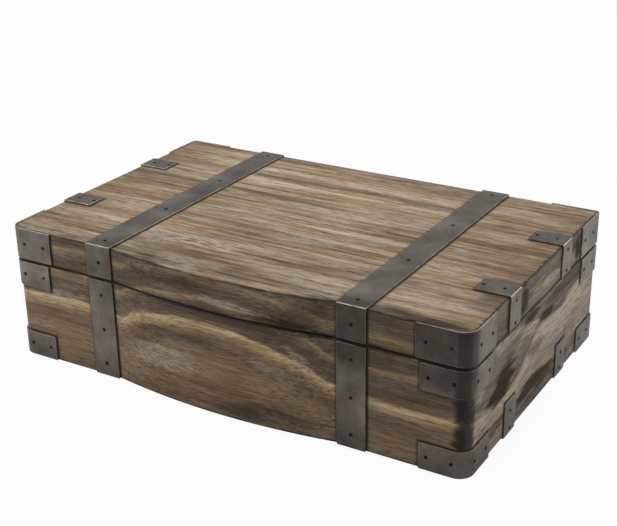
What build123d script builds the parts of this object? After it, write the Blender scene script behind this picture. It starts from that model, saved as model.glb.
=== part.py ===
from build123d import *
from math import cos, radians, sin
import os

# A flat-topped wooden chest with iron straps and corner brackets, which holds wrist
# watches on cushions. Millimetres. X runs along the front from left to right, Y from
# front to back and Z up. The origin lies on the surface that the chest stands on,
# below the middle of its whole plan.

# Wooden case, measured over its flat faces
case_width = 310.0
case_depth = 196.0
body_height = 65.2
lid_height = 21.0
seam_gap = 0.6
wall = 10.0
base_thickness = 5.0
lid_panel_thickness = 6.0
front_corner_radius = 8.0
back_corner_radius = 2.0
seam_edge_radius = 0.8
top_edge_radius = 1.5

# Bow of the front between the straps
bow_depth = 6.8
bow_clearance = 1.2
bow_blend_radius = 12.0

# Iron plate
plate = 1.0
plate_setback = 0.8
bend_radius = 0.5
strap_width = 18.0
strap_offset = 86.0
lid_corner_leg = 31.0
body_corner_leg = 28.0
body_corner_height = 16.3
side_bracket_width = 15.0
side_bracket_offset = 40.5
flange_reach = 20.5
base_bracket_height = 21.6

# Nails
nail_radius = 0.7
nail_head_radius = 1.15
nail_head_height = 0.5
nail_tip = 1.4
nail_fit = 0.05
nail_cover = 0.8
strap_nail_count = 4
strap_nail_margin = 7.0
body_strap_nail_count = 3
body_strap_nail_low = 8.6
body_strap_nail_high = 10.2
lid_corner_nail_margin = 5.7
body_corner_nail_margin = 4.7
corner_nail_pitch = 14.8
flange_nail_margin = 2.0
flange_nail_pitch = 12.4
lid_side_nail_high = 4.3
lid_side_nail_low = 2.2
base_side_nail_low = 3.4
base_side_nail_pitch = 10.8

# Hinges: butt hinges whose heels meet when the lid stands open
hinge_offset = 45.0
hinge_length = 30.0
leaf_thickness = 0.9
leaf_depth = 8.0
leaf_gap = 0.1
leaf_fit = 0.1
knuckle_radius = 2.2
lid_knuckle_length = 10.0
knuckle_gap = 0.2
barrel_clearance = 0.4
pin_radius = 1.2
pin_fit = 0.05
pin_head_radius = 1.7
pin_head_length = 0.7
heel_height = 2.2
heel_thickness = 1.2
heel_clearance = 0.3
lid_heel_angle = 55.0
body_heel_angle = -69.0
screw_pitch = 10.0
screw_count = 3
screw_radius = 0.9
screw_head_radius = 1.65
screw_length = 7.0
screw_fit = 0.05
screw_slot_width = 0.5
screw_slot_depth = 0.35

# Lining, dividers and cushions
floor_lining_thickness = 2.0
wall_lining_thickness = 1.5
wall_lining_drop = 1.0
lid_lining_thickness = 2.5
lid_lining_clearance = 0.4
watch_columns = 6
divider_drop = 11.2
row_divider_thickness = 3.0
cross_divider_thickness = 2.5
divider_fit = 0.05
cushion_height = 40.0
cushion_side_clearance = 1.1
cushion_end_clearance = 2.5

# Shape of a cushion, as shares of its own length and height: where each section
# stands along its half width, then how far its ends and its crown are drawn in
cushion_sections = [
    (-1.0, 0.90, 0.84),
    (-0.55, 0.985, 0.965),
    (0.0, 1.0, 1.0),
    (0.55, 0.985, 0.965),
    (1.0, 0.90, 0.84),
]
cushion_foot_share = 0.41
cushion_shoulder_share = 0.425
cushion_bulge_height = 0.45
cushion_shoulder_height = 0.86

# Levels, from the surface up: the chest stands on the flanges under its base
base_z = plate
rim_z = base_z + body_height
seam_z = rim_z + seam_gap / 2
lid_z = rim_z + seam_gap
lid_panel_z = lid_z + lid_height - lid_panel_thickness
top_z = lid_z + lid_height
lid_plate_z = lid_z + plate_setback
floor_z = base_z + base_thickness + floor_lining_thickness
divider_height = rim_z - divider_drop - floor_z

# Nails end inside the thinnest wood that they are driven into
nail_length = plate + min(base_thickness, lid_panel_thickness) - nail_cover

# The flat front and back, placed so that bow and hinges reach equally far out
barrel_offset = knuckle_radius + barrel_clearance
heel_reach = knuckle_radius + heel_height
heel_tip = heel_reach * cos(radians(lid_heel_angle)) + heel_thickness / 2 * sin(radians(lid_heel_angle))
front_reach = max(bow_depth, plate + nail_head_height)
back_reach = barrel_offset + max(heel_tip, knuckle_radius)
case_y = (front_reach - back_reach) / 2
side_x = case_width / 2
end_y = case_depth / 2
front_y = case_y - end_y
back_y = case_y + end_y
bow_half_span = strap_offset - strap_width / 2 - bow_clearance
pin_y = back_y + barrel_offset

# Space inside the walls, then inside the lining
inner_width = case_width - 2 * wall
inner_depth = case_depth - 2 * wall
lined_width = inner_width - 2 * wall_lining_thickness
lined_depth = inner_depth - 2 * wall_lining_thickness
place_width = (lined_width - (watch_columns - 1) * cross_divider_thickness) / watch_columns
place_depth = (lined_depth - row_divider_thickness) / 2
column_pitch = place_width + cross_divider_thickness

# Two places closer than this are the same
touch = 0.01

lefts_and_rights = {"left": -1, "right": 1}
fronts_and_backs = {"front": -1, "back": 1}
corner_radii = {"front": front_corner_radius, "back": back_corner_radius}


def save(piece, name):
    """Names a finished piece and writes its file."""
    piece.part.label = name
    export_step(piece.part, f"parts/{name}.step")


os.makedirs("parts", exist_ok=True)


# Nails. Each place is a plane on the outside of the plate that a nail holds, where
# the domed head is seated. The sunk nails underneath have flat heads, flush with it.
with BuildPart() as nail:
    with BuildSketch(Plane.XZ):
        with BuildLine():
            dome = TangentArc((0, nail_head_height), (nail_head_radius, 0), tangent=(1, 0))
            Polyline(
                dome @ 1,
                (nail_radius, 0),
                (nail_radius, nail_tip - nail_length),
                (0, -nail_length),
                dome @ 0,
            )
        make_face()
    revolve(axis=Axis.Z)

with BuildPart() as sunk_nail:
    with BuildSketch(Plane.XZ):
        with BuildLine():
            Polyline(
                (0, 0),
                (nail_head_radius, 0),
                (nail_head_radius, -nail_head_height),
                (nail_radius, -nail_head_height),
                (nail_radius, nail_tip - nail_length),
                (0, -nail_length),
                close=True,
            )
        make_face()
    revolve(axis=Axis.Z)


def spread(low, high, count):
    """Evenly spaced values from low to high."""
    return [low + (high - low) * i / (count - 1) for i in range(count)]


def drill(places):
    """Cuts the nail holes at these places in the part that is being made."""
    with Locations(*places):
        Cylinder(nail_radius + nail_fit, 2 * (nail_length + nail_fit), mode=Mode.SUBTRACT)


def end_place(x, z, end):
    """Nail place on a plate on the front or back."""
    return Plane((x, case_y + end * (end_y + plate), z), z_dir=(0, end, 0))


def side_place(y, z, side):
    """Nail place on a plate on the left or right side."""
    return Plane((side * (side_x + plate), y, z), z_dir=(side, 0, 0))


def corner_places(side, end, far_inset, z):
    """The four nail places of a corner bracket, from the inset of its far nails."""
    places = []
    for inset in (far_inset, far_inset - corner_nail_pitch):
        places.append(end_place(side * (side_x - inset), z, end))
        places.append(side_place(case_y + end * (end_y - inset), z, side))
    return places


def strap_top_places(side):
    """Nail places along the top of a lid strap."""
    rows = spread(front_y + strap_nail_margin, back_y - strap_nail_margin, strap_nail_count)
    return [Plane((side * strap_offset, y, top_z + plate), z_dir=(0, 0, 1)) for y in rows]


def strap_drop_places(side):
    """Nail places on the two ends of a lid strap."""
    return [end_place(side * strap_offset, lid_z + lid_height / 2, end) for end in (-1, 1)]


def body_strap_places(side, end):
    """Nail places on a body strap."""
    heights = spread(base_z + body_strap_nail_low, rim_z - body_strap_nail_high, body_strap_nail_count)
    return [end_place(side * strap_offset, z, end) for z in heights]


def flange_places(side, y, z, up):
    """Nail places on the flange of a side bracket that lies on top or underneath."""
    far = side_x - flange_reach + flange_nail_margin
    return [Plane((side * x, y, z), z_dir=(0, 0, up)) for x in (far, far + flange_nail_pitch)]


def lid_side_places(side, y):
    """Nail places on the hanging flange of a lid side bracket."""
    heights = (top_z - lid_side_nail_high, lid_plate_z + lid_side_nail_low)
    return [side_place(y, z, side) for z in heights]


def base_side_places(side, y):
    """Nail places on the upright flange of a base side bracket."""
    low = base_z + base_side_nail_low
    return [side_place(y, z, side) for z in (low, low + base_side_nail_pitch)]


lid_corner_inset = lid_corner_leg - lid_corner_nail_margin
body_corner_inset = body_corner_leg - body_corner_nail_margin
lid_corner_z = (lid_plate_z + top_z) / 2
upper_corner_z = rim_z - plate_setback - body_corner_height / 2
lower_corner_z = base_z + body_corner_height / 2
bracket_rows = [case_y - side_bracket_offset, case_y + side_bracket_offset]

lid_places = []
body_places = []
sunk_places = []
for side in lefts_and_rights.values():
    lid_places += strap_top_places(side) + strap_drop_places(side)
    for end in fronts_and_backs.values():
        lid_places += corner_places(side, end, lid_corner_inset, lid_corner_z)
        body_places += body_strap_places(side, end)
        body_places += corner_places(side, end, body_corner_inset, upper_corner_z)
        body_places += corner_places(side, end, body_corner_inset, lower_corner_z)
    for y in bracket_rows:
        lid_places += flange_places(side, y, top_z + plate, 1) + lid_side_places(side, y)
        body_places += base_side_places(side, y)
        sunk_places += flange_places(side, y, 0, -1)

with BuildPart() as lid_nails:
    with Locations(*lid_places):
        add(nail.part)
save(lid_nails, "lid_nails")

with BuildPart() as body_nails:
    with Locations(*body_places):
        add(nail.part)
    with Locations(*sunk_places):
        add(sunk_nail.part)
save(body_nails, "body_nails")


# Hinge places that the wood, the leaves and the screws share
hinge_columns = {"left": -hinge_offset, "right": hinge_offset}
body_leaf_top = seam_z - leaf_gap / 2
lid_leaf_bottom = seam_z + leaf_gap / 2
screw_row = back_y - leaf_depth / 2


def screw_places(x, z, up):
    """Places of one leaf's screws, each plane on the leaf's open face."""
    span = (screw_count - 1) * screw_pitch / 2
    return [Plane((x + dx, screw_row, z), z_dir=(0, 0, up)) for dx in spread(-span, span, screw_count)]


def cut_for_hinges(z, up):
    """Cuts both hinges' leaf beds and screw holes in the rim at the back."""
    for x in hinge_columns.values():
        with Locations((x, back_y, z)):
            Box(
                hinge_length + 2 * leaf_fit,
                2 * (leaf_depth + leaf_fit),
                2 * leaf_thickness,
                mode=Mode.SUBTRACT,
            )
        with Locations(*screw_places(x, z, up)):
            Cylinder(screw_radius + screw_fit, 2 * (screw_length + screw_fit), mode=Mode.SUBTRACT)


# Wooden case. The walls of the body and the rails of the lid are each made as one
# ring and sawn apart at the mitres.
with BuildSketch() as case_plan:
    with Locations((0, case_y)):
        Rectangle(case_width, case_depth)
    fillet(case_plan.vertices().group_by(Axis.Y)[0], front_corner_radius)
    fillet(case_plan.vertices().group_by(Axis.Y)[-1], back_corner_radius)
    with BuildLine():
        bow = ThreePointArc(
            (-bow_half_span, front_y), (0, front_y - bow_depth), (bow_half_span, front_y)
        )
        Line(bow @ 1, bow @ 0)
    make_face()
    bow_ends = case_plan.vertices().filter_by(
        lambda v: abs(v.Y - front_y) < touch and abs(v.X) < strap_offset
    )
    fillet(bow_ends, bow_blend_radius)


def on_outside(edge):
    """True for an edge that runs round the outside of the case."""
    middle = edge @ 0.5
    inner_half = wall / 2
    return max(abs(middle.X) - side_x, abs(middle.Y - case_y) - end_y) > -inner_half


def edges_at(edges, z):
    """Those edges that lie at one level."""
    return edges.filter_by_position(Axis.Z, z - touch, z + touch)


def outer_edges(part, z):
    """Outside edges of a part at one level."""
    return edges_at(part.edges(), z).filter_by(on_outside)


def saw_wedge(name):
    """Corners of the plan that one wall takes between its two mitres."""
    out = bow_depth + wall
    deep = 1.1 * wall
    far_x, far_y = side_x + out, end_y + out
    near_x, near_y = side_x - deep, end_y - deep
    if name in fronts_and_backs:
        end = fronts_and_backs[name]
        corners = [(-far_x, end * far_y), (far_x, end * far_y)]
        corners += [(near_x, end * near_y), (-near_x, end * near_y)]
    else:
        side = lefts_and_rights[name]
        corners = [(side * far_x, -far_y), (side * far_x, far_y)]
        corners += [(side * near_x, near_y), (side * near_x, -near_y)]
    return [(x, y + case_y) for x, y in corners]


with BuildPart() as body_ring:
    with BuildSketch(Plane.XY.offset(base_z)):
        add(case_plan.sketch)
        with Locations((0, case_y)):
            Rectangle(inner_width, inner_depth, mode=Mode.SUBTRACT)
    extrude(amount=body_height)
    fillet(outer_edges(body_ring, base_z) + outer_edges(body_ring, rim_z), seam_edge_radius)
    cut_for_hinges(body_leaf_top, 1)
    drill(body_places + sunk_places)

with BuildPart() as lid_ring:
    with BuildSketch(Plane.XY.offset(lid_z)):
        add(case_plan.sketch)
        with Locations((0, case_y)):
            Rectangle(inner_width, inner_depth, mode=Mode.SUBTRACT)
    extrude(amount=lid_panel_z - lid_z)
    fillet(outer_edges(lid_ring, lid_z), seam_edge_radius)
    cut_for_hinges(lid_leaf_bottom, -1)
    drill(lid_places)

wall_names = {
    "front": "front_panel",
    "back": "back_panel",
    "left": "left_side_panel",
    "right": "right_side_panel",
}
for place, name in wall_names.items():
    with BuildPart() as wall_panel:
        add(body_ring.part)
        with BuildSketch():
            Polygon(*saw_wedge(place), align=None)
        extrude(amount=top_z, mode=Mode.INTERSECT)
    save(wall_panel, name)
    with BuildPart() as lid_rail:
        add(lid_ring.part)
        with BuildSketch():
            Polygon(*saw_wedge(place), align=None)
        extrude(amount=top_z, mode=Mode.INTERSECT)
    save(lid_rail, f"lid_{place}_rail")

with BuildPart() as base_panel:
    with BuildSketch(Plane.XY.offset(base_z)):
        with Locations((0, case_y)):
            Rectangle(inner_width, inner_depth)
    extrude(amount=base_thickness)
    drill(sunk_places)
save(base_panel, "base_panel")

with BuildPart() as lid_top_panel:
    with BuildSketch(Plane.XY.offset(lid_panel_z)):
        add(case_plan.sketch)
    extrude(amount=lid_panel_thickness)
    fillet(outer_edges(lid_top_panel, top_z), top_edge_radius)
    drill(lid_places)
save(lid_top_panel, "lid_top_panel")


# Straps. A lid strap is one plate, bent down over the front and back edges of the lid.
for name, side in lefts_and_rights.items():
    with BuildPart() as lid_strap:
        with BuildSketch(Plane.YZ.offset(side * strap_offset - strap_width / 2)):
            with Locations((case_y, lid_plate_z)):
                Rectangle(
                    case_depth + 2 * plate,
                    top_z + plate - lid_plate_z,
                    align=(Align.CENTER, Align.MIN),
                )
                Rectangle(
                    case_depth,
                    top_z - lid_plate_z,
                    align=(Align.CENTER, Align.MIN),
                    mode=Mode.SUBTRACT,
                )
        extrude(amount=strap_width)
        fillet(edges_at(lid_strap.edges().filter_by(Axis.X), top_z + plate), bend_radius + plate)
        fillet(edges_at(lid_strap.edges().filter_by(Axis.X), top_z), bend_radius)
        drill(strap_top_places(side) + strap_drop_places(side))
    save(lid_strap, f"lid_strap_{name}")

    for end_name, end in fronts_and_backs.items():
        with BuildPart() as body_strap:
            with Locations((side * strap_offset, case_y + end * (end_y + plate / 2), base_z)):
                Box(
                    strap_width,
                    plate,
                    body_height - plate_setback,
                    align=(Align.CENTER, Align.CENTER, Align.MIN),
                )
            drill(body_strap_places(side, end))
        save(body_strap, f"body_strap_{end_name}_{name}")


# Corner brackets: plate bent round the upright corners. The lid's reach from its top to
# its seam, and the body's go in two rows.
corner_rows = {
    "lid": (lid_corner_leg, lid_corner_inset, lid_plate_z, top_z - lid_plate_z),
    "upper": (
        body_corner_leg,
        body_corner_inset,
        upper_corner_z - body_corner_height / 2,
        body_corner_height,
    ),
    "lower": (body_corner_leg, body_corner_inset, base_z, body_corner_height),
}
for row, (leg, inset, low_z, height) in corner_rows.items():
    for name, side in lefts_and_rights.items():
        for end_name, end in fronts_and_backs.items():
            with BuildPart() as corner_bracket:
                radius = corner_radii[end_name]
                with BuildSketch(Plane.XY.offset(low_z)):
                    with Locations((0, case_y)):
                        RectangleRounded(
                            case_width + 2 * plate, case_depth + 2 * plate, radius + plate
                        )
                        RectangleRounded(case_width, case_depth, radius, mode=Mode.SUBTRACT)
                    with Locations((side * side_x, case_y + end * end_y)):
                        Rectangle(2 * leg, 2 * leg, mode=Mode.INTERSECT)
                extrude(amount=height)
                drill(corner_places(side, end, inset, low_z + height / 2))
            save(corner_bracket, f"{row}_corner_bracket_{end_name}_{name}")


# Side brackets: bent over the top edge of the lid and under the bottom edge of the
# body. Each kind gives its upright's lowest level and height, then the levels of the
# bend, inside and outside.
side_bracket_kinds = {
    "lid": (lid_plate_z, top_z + plate - lid_plate_z, top_z, top_z + plate),
    "base": (0, base_z + base_bracket_height, plate, 0),
}


def side_bracket_places(kind, side, y):
    """All nail places of one side bracket."""
    if kind == "lid":
        return flange_places(side, y, top_z + plate, 1) + lid_side_places(side, y)
    return flange_places(side, y, 0, -1) + base_side_places(side, y)


for name, side in lefts_and_rights.items():
    flange_align = Align.MIN if side > 0 else Align.MAX
    for kind, (upright_low, height, inside_z, outside_z) in side_bracket_kinds.items():
        with BuildPart() as side_brackets:
            for y in bracket_rows:
                with BuildSketch(Plane.XZ.offset(-y - side_bracket_width / 2)):
                    with Locations((side * (side_x + plate / 2), upright_low)):
                        Rectangle(plate, height, align=(Align.CENTER, Align.MIN))
                    with Locations((side * (side_x - flange_reach), min(inside_z, outside_z))):
                        Rectangle(flange_reach + plate, plate, align=(flange_align, Align.MIN))
            extrude(amount=side_bracket_width)
            inside = edges_at(side_brackets.edges().filter_by(Axis.Y), inside_z)
            fillet(inside.filter_by(lambda e: abs(abs(e.center().X) - side_x) < touch), bend_radius)
            outside = edges_at(side_brackets.edges().filter_by(Axis.Y), outside_z)
            fillet(outside.filter_by(lambda e: abs(e.center().X) > side_x), bend_radius + plate)
            for y in bracket_rows:
                drill(side_bracket_places(kind, side, y))
            if kind == "base":
                for y in bracket_rows:
                    with Locations(*flange_places(side, y, 0, -1)):
                        Cylinder(
                            nail_head_radius + nail_fit,
                            2 * (nail_head_height + nail_fit),
                            mode=Mode.SUBTRACT,
                        )
        save(side_brackets, f"{kind}_side_brackets_{name}")


# Hinges. Opening turns the lid's heel down and round until it meets the body's heel.
def heel(x, length, angle, near):
    """A flat tab that stands out from the barrel at this angle."""
    middle = (near + heel_reach) / 2
    tab = Location(
        (x, pin_y + middle * cos(radians(angle)), seam_z + middle * sin(radians(angle))), (angle, 0, 0)
    )
    with Locations(tab):
        Box(length, heel_reach - near, heel_thickness)


def knuckle(x, length, low_z):
    """A barrel length and the tongue that joins it to its leaf."""
    with Locations(Location((x, pin_y, seam_z), (0, 90, 0))):
        Cylinder(knuckle_radius, length)
    with Locations((x, back_y, low_z)):
        Box(length, barrel_offset, leaf_thickness, align=(Align.CENTER, Align.MIN, Align.MIN))


def leaf_plate(x, low_z):
    """The flat of a leaf, let into the rim."""
    with Locations((x, back_y, low_z)):
        Box(hinge_length, leaf_depth, leaf_thickness, align=(Align.CENTER, Align.MAX, Align.MIN))


def bore_leaf(x, z, up):
    """Bores a leaf for its pin and its countersunk screws."""
    with Locations(Location((x, pin_y, seam_z), (0, 90, 0))):
        Cylinder(pin_radius + pin_fit, hinge_length, mode=Mode.SUBTRACT)
    with Locations(*screw_places(x, z, up)):
        CounterSinkHole(screw_radius + screw_fit, screw_head_radius + screw_fit, 2 * leaf_thickness)


with BuildPart() as screw:
    head_depth = screw_head_radius - screw_radius
    with Locations((0, 0, -head_depth / 2)):
        Cone(screw_radius, screw_head_radius, head_depth)
    with Locations((0, 0, -head_depth)):
        Cylinder(screw_radius, screw_length - head_depth, align=(Align.CENTER, Align.CENTER, Align.MAX))
    Box(2 * screw_head_radius, screw_slot_width, 2 * screw_slot_depth, mode=Mode.SUBTRACT)

body_knuckle_length = (hinge_length - lid_knuckle_length) / 2 - knuckle_gap
for name, x in hinge_columns.items():
    with BuildPart() as body_leaf:
        leaf_plate(x, body_leaf_top - leaf_thickness)
        for turn in (-1, 1):
            knuckle_x = x + turn * (hinge_length - body_knuckle_length) / 2
            knuckle(knuckle_x, body_knuckle_length, body_leaf_top - leaf_thickness)
            heel(knuckle_x, body_knuckle_length, body_heel_angle, pin_radius + pin_fit)
        bore_leaf(x, body_leaf_top, 1)
    save(body_leaf, f"hinge_{name}_body_leaf")

    with BuildPart() as lid_leaf:
        leaf_plate(x, lid_leaf_bottom)
        knuckle(x, lid_knuckle_length, lid_leaf_bottom)
        heel(x, lid_knuckle_length, lid_heel_angle, pin_radius + pin_fit)
        heel(x, hinge_length, lid_heel_angle, knuckle_radius + heel_clearance)
        bore_leaf(x, lid_leaf_bottom, -1)
    save(lid_leaf, f"hinge_{name}_lid_leaf")

    with BuildPart() as hinge_pin:
        with Locations(Location((x, pin_y, seam_z), (0, 90, 0))):
            Cylinder(pin_radius, hinge_length)
        for turn in (-1, 1):
            head_x = x + turn * (hinge_length + pin_head_length) / 2
            with Locations(Location((head_x, pin_y, seam_z), (0, 90, 0))):
                Cylinder(pin_head_radius, pin_head_length)
    save(hinge_pin, f"hinge_{name}_pin")

with BuildPart() as lid_hinge_screws:
    for x in hinge_columns.values():
        with Locations(*screw_places(x, lid_leaf_bottom, -1)):
            add(screw.part)
save(lid_hinge_screws, "lid_hinge_screws")

with BuildPart() as body_hinge_screws:
    for x in hinge_columns.values():
        with Locations(*screw_places(x, body_leaf_top, 1)):
            add(screw.part)
save(body_hinge_screws, "body_hinge_screws")


# Lining
with BuildPart() as floor_lining:
    with BuildSketch(Plane.XY.offset(base_z + base_thickness)):
        with Locations((0, case_y)):
            Rectangle(inner_width, inner_depth)
    extrude(amount=floor_lining_thickness)
save(floor_lining, "floor_lining")

lining_height = rim_z - wall_lining_drop - floor_z
with BuildPart() as wall_lining:
    with BuildSketch(Plane.XY.offset(floor_z)):
        with Locations((0, case_y)):
            Rectangle(inner_width, inner_depth)
            Rectangle(lined_width, lined_depth, mode=Mode.SUBTRACT)
    extrude(amount=lining_height)
save(wall_lining, "wall_lining")

with BuildPart() as lid_lining_pad:
    with BuildSketch(Plane.XY.offset(lid_panel_z - lid_lining_thickness)):
        with Locations((0, case_y)):
            Rectangle(inner_width - 2 * lid_lining_clearance, inner_depth - 2 * lid_lining_clearance)
    extrude(amount=lid_lining_thickness)
save(lid_lining_pad, "lid_lining_pad")


# Dividers, halved into each other where they cross
divider_columns = [(i - watch_columns / 2) * column_pitch for i in range(1, watch_columns)]
with BuildPart() as row_divider:
    with Locations((0, case_y, floor_z)):
        Box(
            lined_width,
            row_divider_thickness,
            divider_height,
            align=(Align.CENTER, Align.CENTER, Align.MIN),
        )
    with Locations(*[(x, case_y, floor_z + divider_height) for x in divider_columns]):
        Box(
            cross_divider_thickness + 2 * divider_fit,
            row_divider_thickness,
            divider_height,
            mode=Mode.SUBTRACT,
        )
save(row_divider, "row_divider")

with BuildPart() as cross_dividers:
    for x in divider_columns:
        with Locations((x, case_y, floor_z)):
            Box(
                cross_divider_thickness,
                lined_depth,
                divider_height,
                align=(Align.CENTER, Align.CENTER, Align.MIN),
            )
            Box(
                cross_divider_thickness,
                row_divider_thickness + 2 * divider_fit,
                divider_height,
                mode=Mode.SUBTRACT,
            )
save(cross_dividers, "cross_dividers")


# Cushions: crowned, with the ends drawn in, and flat where they stand on the floor
cushion_width = place_width - 2 * cushion_side_clearance
cushion_length = place_depth - 2 * cushion_end_clearance
with BuildPart() as cushion:
    for station, length_share, height_share in cushion_sections:
        with BuildSketch(Plane.YZ.offset(station * cushion_width / 2)):
            length = cushion_length * length_share
            height = cushion_height * height_share
            foot = cushion_foot_share * length
            shoulder = cushion_shoulder_share * length
            with BuildLine():
                Line((-foot, 0), (foot, 0))
                ThreePointArc(
                    (foot, 0),
                    (length / 2, cushion_bulge_height * height),
                    (shoulder, cushion_shoulder_height * height),
                )
                ThreePointArc(
                    (shoulder, cushion_shoulder_height * height),
                    (0, height),
                    (-shoulder, cushion_shoulder_height * height),
                )
                ThreePointArc(
                    (-shoulder, cushion_shoulder_height * height),
                    (-length / 2, cushion_bulge_height * height),
                    (-foot, 0),
                )
            make_face()
    loft()

for end_name, end in fronts_and_backs.items():
    for column in range(watch_columns):
        x = (column - (watch_columns - 1) / 2) * column_pitch
        y = case_y + end * (row_divider_thickness + place_depth) / 2
        with BuildPart() as placed_cushion:
            with Locations((x, y, floor_z)):
                add(cushion.part)
        save(placed_cushion, f"cushion_{end_name}_{column + 1}")
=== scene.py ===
import math
import random
import bpy
from mathutils import Matrix, Vector


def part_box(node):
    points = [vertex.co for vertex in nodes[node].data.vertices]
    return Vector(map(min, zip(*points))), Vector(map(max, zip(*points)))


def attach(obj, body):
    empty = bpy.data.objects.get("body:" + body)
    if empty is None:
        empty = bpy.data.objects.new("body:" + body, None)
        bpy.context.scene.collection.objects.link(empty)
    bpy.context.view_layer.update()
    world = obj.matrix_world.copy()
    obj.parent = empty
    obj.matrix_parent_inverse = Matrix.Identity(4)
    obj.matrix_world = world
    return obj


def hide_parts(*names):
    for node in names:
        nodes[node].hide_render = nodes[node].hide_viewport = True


# A burnt-wood chest with iron straps that keeps wrist watches on cushions. The packed
# parts are the frame: the wood and the hinges are shown as they are with their own
# finishes, and the ironwork, nails, linings and cushions are modelled here in place.
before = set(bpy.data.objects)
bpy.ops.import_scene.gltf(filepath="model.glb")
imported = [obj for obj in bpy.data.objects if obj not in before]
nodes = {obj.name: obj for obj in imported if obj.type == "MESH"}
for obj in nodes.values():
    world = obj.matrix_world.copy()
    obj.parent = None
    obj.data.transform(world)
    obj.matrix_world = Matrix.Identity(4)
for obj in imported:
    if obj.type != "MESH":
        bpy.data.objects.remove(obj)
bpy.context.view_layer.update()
MM = 0.001


# Sizes and places, in metres, most of them read from the frame
def low_of(node):
    """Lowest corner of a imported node."""
    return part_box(node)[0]


def high_of(node):
    """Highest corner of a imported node."""
    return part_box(node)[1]


def middle_of(node):
    """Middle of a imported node's box."""
    return (low_of(node) + high_of(node)) / 2


SIDES = {"left": -1, "right": 1}
ENDS = {"front": -1, "back": 1}
SIDE_X = high_of("right_side_panel").x
BACK_Y = high_of("back_panel").y
FRONT_Y = high_of("body_strap_front_left").y
MID_Y = (FRONT_Y + BACK_Y) / 2
END_Y = (BACK_Y - FRONT_Y) / 2
BASE_Z = low_of("front_panel").z
RIM_Z = high_of("front_panel").z
LID_Z = low_of("lid_front_rail").z
TOP_Z = high_of("lid_top_panel").z
PLATE = high_of("lid_strap_left").z - TOP_Z
STRAP_X = middle_of("lid_strap_right").x
STRAP_HALF = high_of("lid_strap_right").x - STRAP_X
CORNER_RADII = {"front": 8 * MM, "back": 2 * MM}
BEND_RADIUS = 0.5 * MM
BRACKET_HALF = 7.5 * MM
X_WAY, Y_WAY, Z_WAY = Vector((1, 0, 0)), Vector((0, 1, 0)), Vector((0, 0, 1))


def linear(code):
    """An sRGB hex colour as linear RGBA."""
    parts = [int(code[i : i + 2], 16) / 255 for i in (1, 3, 5)]
    return [p / 12.92 if p <= 0.04045 else ((p + 0.055) / 1.055) ** 2.4 for p in parts] + [1]


def set_inputs(tree, node, inputs):
    """Links or sets a node's inputs, each found by its name or its number."""
    for name, value in dict(inputs).items():
        if isinstance(value, bpy.types.NodeSocket):
            tree.links.new(value, node.inputs[name])
        else:
            node.inputs[name].default_value = value


def add_node(tree, kind, inputs=(), output=0, stops=(), line=(), **settings):
    """Adds a shader node with its settings and links, and gives one of its outputs.

    stops are a ramp's (place, colour) pairs, and line a curve's (in, out) points.
    """
    made = tree.nodes.new("ShaderNode" + kind)
    for name, value in settings.items():
        setattr(made, name, value)
    set_inputs(tree, made, inputs)
    for i, (place, colour) in enumerate(stops):
        ramp = made.color_ramp.elements
        stop = ramp[i] if i < 2 else ramp.new(place)
        stop.position = place
        stop.color = linear(colour)
    for i, point in enumerate(line):
        points = made.mapping.curves[0].points
        if i < 2:
            points[i].location = point
        else:
            points.new(*point)
    return made.outputs[output] if len(made.outputs) else made


def new_material(name):
    """An empty node material with its output and main shader."""
    made = bpy.data.materials.new(name)
    made.use_nodes = True
    return made, made.node_tree, made.node_tree.nodes["Principled BSDF"]


# The colour inputs of a Mix node
MIX_A, MIX_B = 6, 7

# Wood: solid hardwood, torched, brushed along the grain and waxed, which gives dark soft
# edges, fine raised fibres and pale flecks. Its growth bands run beside a wandering line
# in each board, so the fronts show flames: places along and up the case, in mm.
FLAMES = {
    "front": [
        (-155, 41), (-125, 43), (-98, 45), (-75, 41), (-60, 47), (-25, 55.5), (0, 57),
        (33, 51.5), (59, 43), (76, 34), (100, 32.5), (155, 32.5),
    ],
    "back": [(-155, 30), (-110, 37), (-60, 33), (-10, 44), (50, 52), (105, 40), (155, 44)],
    "right": [
        (-98, 34), (-71, 29), (-38, 27), (-16, 36), (2, 46), (16, 46), (35, 43),
        (54, 49), (75, 50), (98, 49),
    ],
    "left": [(-98, 46), (-62, 38), (-28, 33), (8, 42), (40, 54), (70, 48), (98, 36)],
}
# Colours of the growth bands, by their height in mm over the wandering line
BANDS = {
    "front": [
        (-46, "#6E573F"), (-36, "#765F45"), (-28, "#7F684D"), (-19, "#826B50"), (-11, "#6B5744"),
        (-5, "#7C664C"), (-1, "#A48C66"), (2.5, "#BAA47F"), (4.2, "#6F5C47"), (8, "#5D4C3B"),
        (14, "#534534"), (17.5, "#6E593F"), (20.5, "#927B57"), (22, "#5B4A39"), (31, "#534433"),
        (36, "#826C4C"), (38, "#5A4938"),
    ],
    "side": [
        (-46, "#6B6056"), (-36, "#7F7366"), (-26, "#877A6C"), (-18, "#7F7365"), (-14, "#938674"),
        (-9, "#857868"), (-5, "#8F8271"), (-1, "#A09380"), (2, "#8A7D6D"), (4.5, "#51473F"),
        (12, "#5C524A"), (22, "#6D6258"), (30, "#645950"), (40, "#584E45"), (48, "#61564B"),
    ],
}
BAND_REACH = 50
# Height that a line's rise is measured from, and heights between which the bands lose
# half of that rise, in mm
FLAME_REST = 45.0
FLAME_FADE = (55.0, 82.0)
# Waves of the bands: length along, width across and swing, in mm
BAND_WAVES = ((90, 26, 8), (40, 9, 3), (16, 1.4, 1.4))
# Colours of the lid's top board, by the value of its noise
TOP_BANDS = [
    (0.33, "#574532"), (0.41, "#776046"), (0.46, "#8D755A"), (0.52, "#A2896B"),
    (0.58, "#B49F82"), (0.66, "#C7B89E"),
]
# The most wax that each face keeps
WAX = {"front": 0.3, "back": 0.6, "left": 0.45, "right": 0.3, "top": 0.7}
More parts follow.
